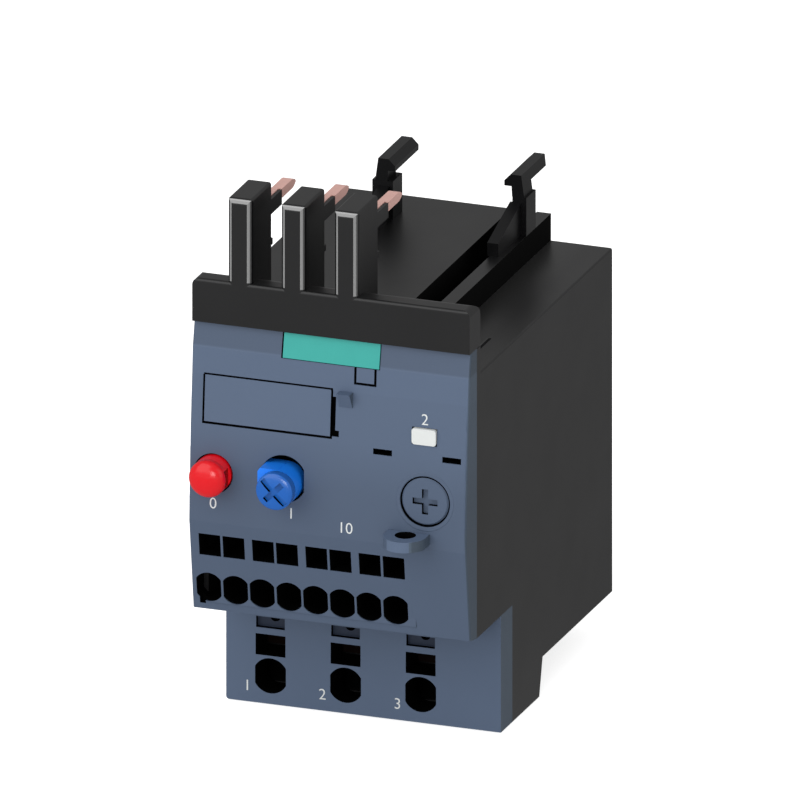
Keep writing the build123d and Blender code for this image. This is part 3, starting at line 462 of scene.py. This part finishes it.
def label_plastic(tint):
    """The label plate's plastic, with painted shade: its thin sides black."""
    nodes = material("label_plastic")
    place, _ = nodes.millimetres()
    base, _, fine = nodes.tones(place, tint, COLOUR_CLOUDS)
    # Painted shade: faces that don't look forward turn black
    return nodes.surface(nodes.normal()[1] > -0.5, Base_Color=base, Roughness=0.5,
                         Specular_IOR_Level=0.3, Normal=nodes.grain(fine))


def block_plastic(tint):
    """The cover's plastic on the terminal block, with painted shade: dark in its windows and black
    down its holes.
    """
    # Millimetres behind the block's face, below the seam, and from the left and right sides
    sunk, window_front, window_back, window_top, window_low = 0.05, 0.75, 0.85, 51.8, 53.8
    left_rim, right_rim, top_rim, low_rim = 0.6, 0.2, 47.1, 65.8
    nodes = material("block_plastic")
    place, (x, y, z) = nodes.millimetres()
    base, slow, fine = nodes.tones(place, tint, COLOUR_CLOUDS)
    face = FRONT_MM + BLOCK_BACK
    inside = x.between(LEFT_MM + left_rim, RIGHT_MM - right_rim) * z.dropped(top_rim, low_rim)
    painted_shade = (y > face + sunk) * inside
    pocket = y.between(face + window_front, face + window_back)
    window_painted_shade = pocket * z.dropped(window_top, window_low) * inside
    # Painted shade: a dark blue on the window floors
    base = shaded(nodes, z, nodes.mix(window_painted_shade, base, (0.02, 0.03, 0.055, 1)), BLOCK_PAINTED_SHADE)
    return nodes.surface(painted_shade * (1 - window_painted_shade), Base_Color=base,
                         Roughness=0.48 + (slow - 0.5) * CLOUDY_GLOSS,
                         Specular_IOR_Level=0.3, Normal=nodes.grain(fine))


def recessed(name, tint, rough, level, centre, radius, face, rim=None):
    """Plastic with painted shade: black walls in its cross recess, and on its side from the rim
    outwards.

    The recess lies within the radius, and the face lies that much behind the cap's front plane.
    """
    recess_deep = 1.3
    nodes = material(name)
    place, (x, y, z) = nodes.millimetres()
    base, slow, _ = nodes.tones(place, tint, COLOUR_CLOUDS)
    middle = beside(centre, 0) / MM
    over, up = x - middle.x, z - middle.z
    square = over * over + up * up
    sideways = nodes.normal()[1] > -0.5
    recess = y.between(FRONT_MM + face, FRONT_MM + face + recess_deep)
    # Painted shade: sideways walls in the recess, and beyond the rim, turn black
    painted_shade_wall = (square < radius * radius) * sideways * recess
    if rim:
        painted_shade_wall = nodes.either(painted_shade_wall, (square > rim * rim) * sideways)
    return nodes.surface(painted_shade_wall, Base_Color=base, Roughness=rough + (slow - 0.5) * SMOOTH_GLOSS,
                         Specular_IOR_Level=level)


def stop_plastic(name, tint):
    """Glossy red, with painted shade: darker in the side notch."""
    # Millimetres right of the axis, and before the cap's front plane
    notch_from, notch_to, notch_out = 2.0, 2.7, 4.2
    nodes = material(name)
    place, (x, y, _) = nodes.millimetres()
    base, slow, _ = nodes.tones(place, tint, COLOUR_CLOUDS)
    centre = beside(STOP, 0) / MM
    side = (x - centre.x).between(notch_from, notch_to) * (nodes.normal()[0] > 0.9)
    notch = side * (y > centre.y - notch_out)
    # Painted shade: the notch's flat side gets a dark red
    base = nodes.mix(notch, base, (0.25, 0.001, 0.002, 1))
    return nodes.surface(Base_Color=base, Roughness=0.22 + (slow - 0.5) * SMOOTH_GLOSS,
                         Specular_IOR_Level=0.4)


def plain(name, tint, rough, level):
    """Smooth plastic with a slow change of tone."""
    nodes = material(name)
    place, _ = nodes.millimetres()
    slow = nodes.noise(place, 0.3)
    base = nodes.mix(slow, dim(tint, 0.96), dim(tint, 1.03))
    return nodes.surface(Base_Color=base, Roughness=rough + (slow - 0.5) * SMOOTH_GLOSS,
                         Specular_IOR_Level=level)


def metal(name, tint, rough, pure=1.0):
    """Rolled metal with fine lines along Y and slow stains."""
    nodes = material(name)
    place, _ = nodes.millimetres()
    along = nodes.add("ShaderNodeMapping", None, {"Vector": place, "Scale": (1.0, 0.06, 1.0)})
    lines = nodes.noise(along, 6.0, 3.0)
    stain = nodes.noise(place, 0.6, 3.0)
    base = nodes.mix(stain, dim(tint, 0.9), dim(tint, 1.08))
    return nodes.surface(Base_Color=base, Metallic=pure, Roughness=rough + (lines - 0.5) * 0.2,
                         Normal=nodes.bump(lines, 0.3, 0.01 * MM))


def dress(finish, *starts):
    """Give a finish to the CAD nodes whose names start so."""
    for name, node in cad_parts.items():
        if name.startswith(starts):
            for slot in node.material_slots:
                slot.material = finish


class RELAY_OT_finishes(bpy.types.Operator):
    """Give every solid its plastic or metal"""
    bl_idname = "relay.finishes"
    bl_label = "Finishes"

    def execute(self, context):
        tint = colours()
        dress(housing_plastic(tint.black), "main_housing")
        dress(cap_plastic(tint.black), "top_cap")
        dress(moulded("hook_plastic", tint.black, rough=0.34, level=0.22), "latch_hook")
        dress(cover_plastic(tint.cover), "front_cover")
        dress(block_plastic(tint.cover), "terminal_block")
        dress(label_plastic(tint.cover), "label_plate")
        # Painted shade: the dial's colour is dimmed like the cover's painted shade at that height
        dress(recessed("dial_painted_shade", dim(tint.cover, 0.86), rough=0.5, level=0.3, centre=DIAL,
                       radius=2.7, face=-1.5, rim=3.6), "current_dial")
        dress(recessed("reset_plastic", tint.blue, rough=0.24, level=0.5, centre=RESET,
                       radius=2.7, face=-5.85), "reset_knob")
        # Painted light: the stop button's body gets a brighter copy of the red
        dress(stop_plastic("stop_body_painted_light", dim(tint.red, 1.3)), "stop_button")
        dress(plain("plate_print", tint.plate, rough=0.45, level=0.2), "name_plate")
        # Painted light: the reset stem gets a blue twice as bright as the knob's
        dress(plain("stem_painted_light", dim(tint.blue, 2.0), rough=0.3, level=0.4), "reset_stem")
        dress(plain("test_plastic", tint.white, rough=0.4, level=0.3), "test_button")
        dress(plain("mechanism_plastic", (0.72, 0.71, 0.66), rough=0.45, level=0.4),
              "trip_", "contact_carrier", "setting_cam")
        dress(metal("copper", tint.copper, rough=0.4, pure=0.25), "contact_bar")
        # Painted shade: the busbars and bridges inside are copper darkened almost to black
        dress(metal("copper_painted_shade", dim(tint.copper, 0.02), rough=0.8), "main_busbar")
        dress(metal("inner_copper_painted_shade", dim(tint.copper, 0.08), rough=0.6),
              "aux_busbar", "closed_bridge", "open_bridge")
        dress(metal("clamp_steel", (0.03, 0.03, 0.032), rough=0.6), "main_clamp")
        dress(metal("spring_steel", (0.55, 0.55, 0.56), rough=0.3), "aux_clamp", "stop_spring",
              "reset_spring", "test_spring", "carrier_spring", "pusher_pin")
        dress(metal("heater_strip", (0.4, 0.37, 0.33), rough=0.35), "heater_winding")
        dress(metal("bimetal", (0.5, 0.46, 0.38), rough=0.3), "bimetal_strip")
        return {"FINISHED"}


def only(piece):
    """Select one piece and nothing else."""
    bpy.ops.object.select_all(action="DESELECT")
    piece.select_set(True)
    bpy.context.view_layer.objects.active = piece


def belongs(piece, name, finish, body):
    """Name a finished piece, apply its place, give it its finish and let it ride on a body."""
    only(piece)
    bpy.ops.object.transform_apply(location=True, rotation=True, scale=True)
    piece.name = name
    piece.data.name = name
    piece.data.materials.clear()
    piece.data.materials.append(finish)
    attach(piece, body)


def digits(name, text, across, drop, finish, back=None):
    """Printed digits on the cover, or on a flat face that lies back by that much."""
    lies, tilt = face_back(drop) if back is None else (back, 0.0)
    bpy.ops.object.select_all(action="DESELECT")
    bpy.ops.object.text_add(location=at(across, lies, -drop), rotation=(pi / 2 - tilt, 0, 0))
    curve = bpy.context.object.data
    curve.body = text
    # A digit is 0.7 of the text size tall
    curve.size = sizes().mark_height / 0.7
    curve.align_x = "CENTER"
    curve.align_y = "CENTER"
    curve.extrude = sizes().mark_thick
    curve.offset = -0.012 * MM
    bpy.ops.object.convert(target="MESH")
    belongs(bpy.context.object, name, finish, "housing")


class RELAY_OT_marks(bpy.types.Operator):
    """Plain white digits by the buttons and the terminals"""
    bl_idname = "relay.marks"
    bl_label = "Digits"

    def execute(self, context):
        ink = plain("white_ink", colours().white, rough=0.5, level=0.2)
        for name, text, across, drop in COVER_DIGITS:
            digits(name, text, across, drop, ink)
        for number in (1, 2, 3):
            across = FIRST_POLE + POLE_PITCH * (number - 1) - POLE_DIGIT_LEFT
            digits("digit_pole_%d" % number, str(number), across, POLE_DIGIT_DROP, ink, BLOCK_BACK)
        return {"FINISHED"}


def edit_all():
    """Edit the active piece with all of it selected."""
    bpy.ops.object.mode_set(mode="EDIT")
    bpy.ops.mesh.select_all(action="SELECT")


def leave_edit():
    """Point all faces outwards and leave edit mode."""
    bpy.ops.mesh.select_all(action="SELECT")
    bpy.ops.mesh.normals_make_consistent(inside=False)
    bpy.ops.object.mode_set(mode="OBJECT")


def turn_to_front():
    """Turn what is selected from Z to Y."""
    bpy.ops.transform.rotate(value=pi / 2, orient_axis="X", center_override=(0, 0, 0))


def stretch(across, along):
    """Scale what is selected about the Y axis."""
    bpy.ops.transform.resize(value=(across, along, across), center_override=(0, 0, 0))


def round_front(place, radius, deep, side):
    """A solid round button front along Y: half an ellipsoid with a short straight side."""
    bpy.ops.object.select_all(action="DESELECT")
    bpy.ops.mesh.primitive_uv_sphere_add(segments=96, ring_count=48, radius=1.0,
                                         location=(0, 0, 0))
    piece = bpy.context.object
    edit_all()
    turn_to_front()
    stretch(radius, deep)
    bpy.ops.mesh.bisect(plane_co=(0, 0, 0), plane_no=(0, 1, 0), clear_outer=True)
    bpy.ops.mesh.select_mode(type="EDGE")
    bpy.ops.mesh.select_all(action="DESELECT")
    bpy.ops.mesh.select_non_manifold()
    bpy.ops.mesh.extrude_region_move(TRANSFORM_OT_translate={"value": (0, side, 0)})
    bpy.ops.mesh.edge_face_add()
    leave_edit()
    piece.location = place
    bpy.ops.object.transform_apply(location=True, rotation=True, scale=True)
    return piece


def cut(piece, place, size, turn=0.0):
    """Take a turned block out of a piece."""
    bpy.ops.object.select_all(action="DESELECT")
    bpy.ops.mesh.primitive_cube_add(size=1.0, location=place, rotation=(0, turn, 0), scale=size)
    cutter = bpy.context.object
    only(piece)
    step = piece.modifiers.new("cut", "BOOLEAN")
    step.operation = "DIFFERENCE"
    step.object = cutter
    bpy.ops.object.modifier_apply(modifier=step.name)
    bpy.data.objects.remove(cutter, do_unlink=True)


def smooth(piece):
    only(piece)
    bpy.ops.object.shade_smooth_by_angle(angle=radians(35))


class RELAY_OT_buttons(bpy.types.Operator):
    """Smooth domed fronts over the stop button and the reset knob"""
    bl_idname = "relay.buttons"
    bl_label = "Button fronts"

    def execute(self, context):
        radius = 2.965 * MM
        stop = round_front(beside(STOP, -3.9), radius, deep=1.5 * MM, side=0.6 * MM)
        cut(stop, beside(STOP, -3.0, right=3.35), (2 * MM, 2 * MM, 6 * MM))
        smooth(stop)
        red = stop_plastic("stop_plastic", colours().red)
        belongs(stop, "stop_front", red, "stop")
        face = beside(RESET, -5.3)
        knob = round_front(face, radius, deep=0.68 * MM, side=0.5 * MM)
        # The two slots of the cross
        for slot_long, turn in ((5.2, pi / 4), (3.9, -pi / 4)):
            cut(knob, face, (slot_long * MM, 3 * MM, 0.9 * MM), turn)
        smooth(knob)
        blue = bpy.data.materials["reset_plastic"]
        belongs(knob, "reset_front", blue, "reset_turner")
        return {"FINISHED"}


class RELAY_OT_shelf_mark(bpy.types.Operator):
    """A thin sheet of painted shade for a slit on the shelf, with a painted highlight along its
    edge
    """
    bl_idname = "relay.shelf_mark"
    bl_label = "Shelf mark"

    def execute(self, context):
        back, up, long, thick = 17.15, -4.4, 4.7 * MM, 0.06 * MM
        # Painted shade for the slit, and a painted highlight for its edge
        dark = plain("slit_painted_shade", (0.011, 0.011, 0.012), rough=0.7, level=0.05)
        pale = plain("slit_edge", (0.07, 0.07, 0.07), rough=0.5, level=0.2)
        for name, across, wide, finish in (("shelf_slit", 41.2, 0.45, dark),
                                           ("shelf_slit_painted_highlight", 40.9, 0.15, pale)):
            bpy.ops.object.select_all(action="DESELECT")
            bpy.ops.mesh.primitive_cube_add(size=1.0, location=at(across, back, up),
                                            scale=(wide * MM, long, thick))
            belongs(bpy.context.object, name, finish, "housing")
        return {"FINISHED"}


class RELAY_OT_dial_ring(bpy.types.Operator):
    """A fine raised ring round the dial"""
    bl_idname = "relay.dial_ring"
    bl_label = "Dial ring"

    def execute(self, context):
        bpy.ops.object.select_all(action="DESELECT")
        inner = 4.06 * MM
        bpy.ops.mesh.primitive_circle_add(vertices=96, radius=inner, location=(0, 0, 0))
        ring = bpy.context.object
        edit_all()
        turn_to_front()
        # Up the inner side, across the top and down the outer side
        for rise, wider in ((-0.07 * MM, 1.02), (0, 1.11), (0.1 * MM, 1.03)):
            bpy.ops.mesh.extrude_edges_move(TRANSFORM_OT_translate={"value": (0, rise, 0)})
            stretch(wider, 1)
        leave_edit()
        lies, tilt = face_back(DIAL[1])
        ring.location = beside(DIAL, lies)
        ring.rotation_euler = (-tilt, 0, 0)
        smooth(ring)
        # Painted shade: the ring's colour is dimmed like the cover's painted shade at the dial
        finish = moulded("ring_painted_shade", dim(colours().cover, 0.84), rough=0.5, level=0.3)
        belongs(ring, "dial_ring", finish, "housing")
        return {"FINISHED"}


def floor_white():
    """White floor that glows to the camera, and shines less near the relay in reflections."""
    nodes = material("floor_white")
    seen = nodes.add("ShaderNodeLightPath", output="Is Camera Ray")
    mirrored = nodes.add("ShaderNodeLightPath", output="Is Glossy Ray")
    matt = nodes.add("ShaderNodeBsdfDiffuse", None, {"Color": grey(0.8)})
    glowing = nodes.add("ShaderNodeAddShader", None, {0: matt, 1: nodes.emission(0.72)})
    lit = nodes.either_shader(seen, matt, glowing)
    y = nodes.millimetres()[1][1]
    # Millimetres along Y: far in front of the relay, and from its front to its rear face
    distant = nodes.ramp(y, -900, -500, 1.0, 0.0)
    behind = nodes.ramp(y, -120, 0, 0.0, 1.0)
    ahead = nodes.either_shader(distant, nodes.emission(0.42), nodes.emission(1.4))
    shine = nodes.either_shader(behind, ahead, nodes.emission(0.29))
    return nodes.end(nodes.either_shader(mirrored, lit, shine))


def surroundings():
    """A white world, dimmer in reflections and in its light than to the camera."""
    nodes = Nodes(bpy.data.worlds.new("surroundings"))
    shader = None
    for strength, ray in ((0.6, None), (0.38, "Is Glossy Ray"), (1.0, "Is Camera Ray")):
        white = nodes.add("ShaderNodeBackground", None, {"Color": grey(1), "Strength": strength})
        if ray:
            seen = nodes.add("ShaderNodeLightPath", output=ray)
            shader = nodes.either_shader(seen, shader, white)
        else:
            shader = white
    return nodes.end(shader, "ShaderNodeOutputWorld")


def light(name, place, target, power, size):
    """A soft square lamp that looks at a target."""
    bpy.ops.object.select_all(action="DESELECT")
    bpy.ops.object.light_add(type="AREA", location=place)
    lamp = bpy.context.object
    lamp.name = name
    lamp.data.energy = power
    lamp.data.shape = "SQUARE"
    lamp.data.size = size
    way = Vector(target) - Vector(place)
    lamp.rotation_euler = way.to_track_quat("-Z", "Y").to_euler()


def camera(scene):
    """A camera without perspective, at the photograph's angles."""
    forward = Vector((-sin(AZIMUTH) * cos(ELEVATION), cos(AZIMUTH) * cos(ELEVATION),
                      -sin(ELEVATION)))
    side = Vector((cos(AZIMUTH), sin(AZIMUTH), 0))
    up = side.cross(forward)
    aim = at(0, 0, 0) + side * CENTRE_RIGHT - up * CENTRE_DOWN
    bpy.ops.object.camera_add(location=aim - forward * CAMERA_FAR)
    eye = bpy.context.object
    eye.rotation_euler = Matrix((side, up, -forward)).transposed().to_euler()
    eye.data.type = "ORTHO"
    eye.data.ortho_scale = sizes().view_scale
    scene.camera = eye


class RELAY_OT_stage(bpy.types.Operator):
    """Floor, lamps, white surroundings and the camera"""
    bl_idname = "relay.stage"
    bl_label = "Studio"

    def execute(self, context):
        scene = context.scene
        bpy.ops.object.select_all(action="DESELECT")
        just_below = CAD_BOX[0].z - 0.2 * MM
        bpy.ops.mesh.primitive_plane_add(size=FLOOR_SIZE, location=(0, 0, just_below))
        floor = bpy.context.object
        floor.name = "floor"
        floor.data.materials.append(floor_white())
        scene.world = surroundings()
        for lamp in LAMPS:
            light(*lamp)
        camera(scene)
        scene.view_settings.view_transform = "Standard"
        return {"FINISHED"}


class RELAY_PT_panel(bpy.types.Panel):
    """Lists the relay's steps"""
    bl_idname = "RELAY_PT_panel"
    bl_label = "Relay"
    bl_space_type = "VIEW_3D"
    bl_region_type = "UI"
    bl_category = "Relay"

    def draw(self, context):
        for step in STEPS:
            self.layout.operator(step.bl_idname)


STEPS = (RELAY_OT_finishes, RELAY_OT_marks, RELAY_OT_buttons, RELAY_OT_shelf_mark,
         RELAY_OT_dial_ring, RELAY_OT_stage)
CLASSES = (RelayColours, RelaySizes, *STEPS, RELAY_PT_panel)


def register():
    for item in CLASSES:
        bpy.utils.register_class(item)
    bpy.types.Scene.relay_colours = bpy.props.PointerProperty(type=RelayColours)
    bpy.types.Scene.relay_sizes = bpy.props.PointerProperty(type=RelaySizes)


def unregister():
    del bpy.types.Scene.relay_sizes
    del bpy.types.Scene.relay_colours
    for item in reversed(CLASSES):
        bpy.utils.unregister_class(item)


def main():
    register()
    for step in STEPS:
        group, name = step.bl_idname.split(".")
        getattr(getattr(bpy.ops, group), name)()


if __name__ == "__main__":
    main()
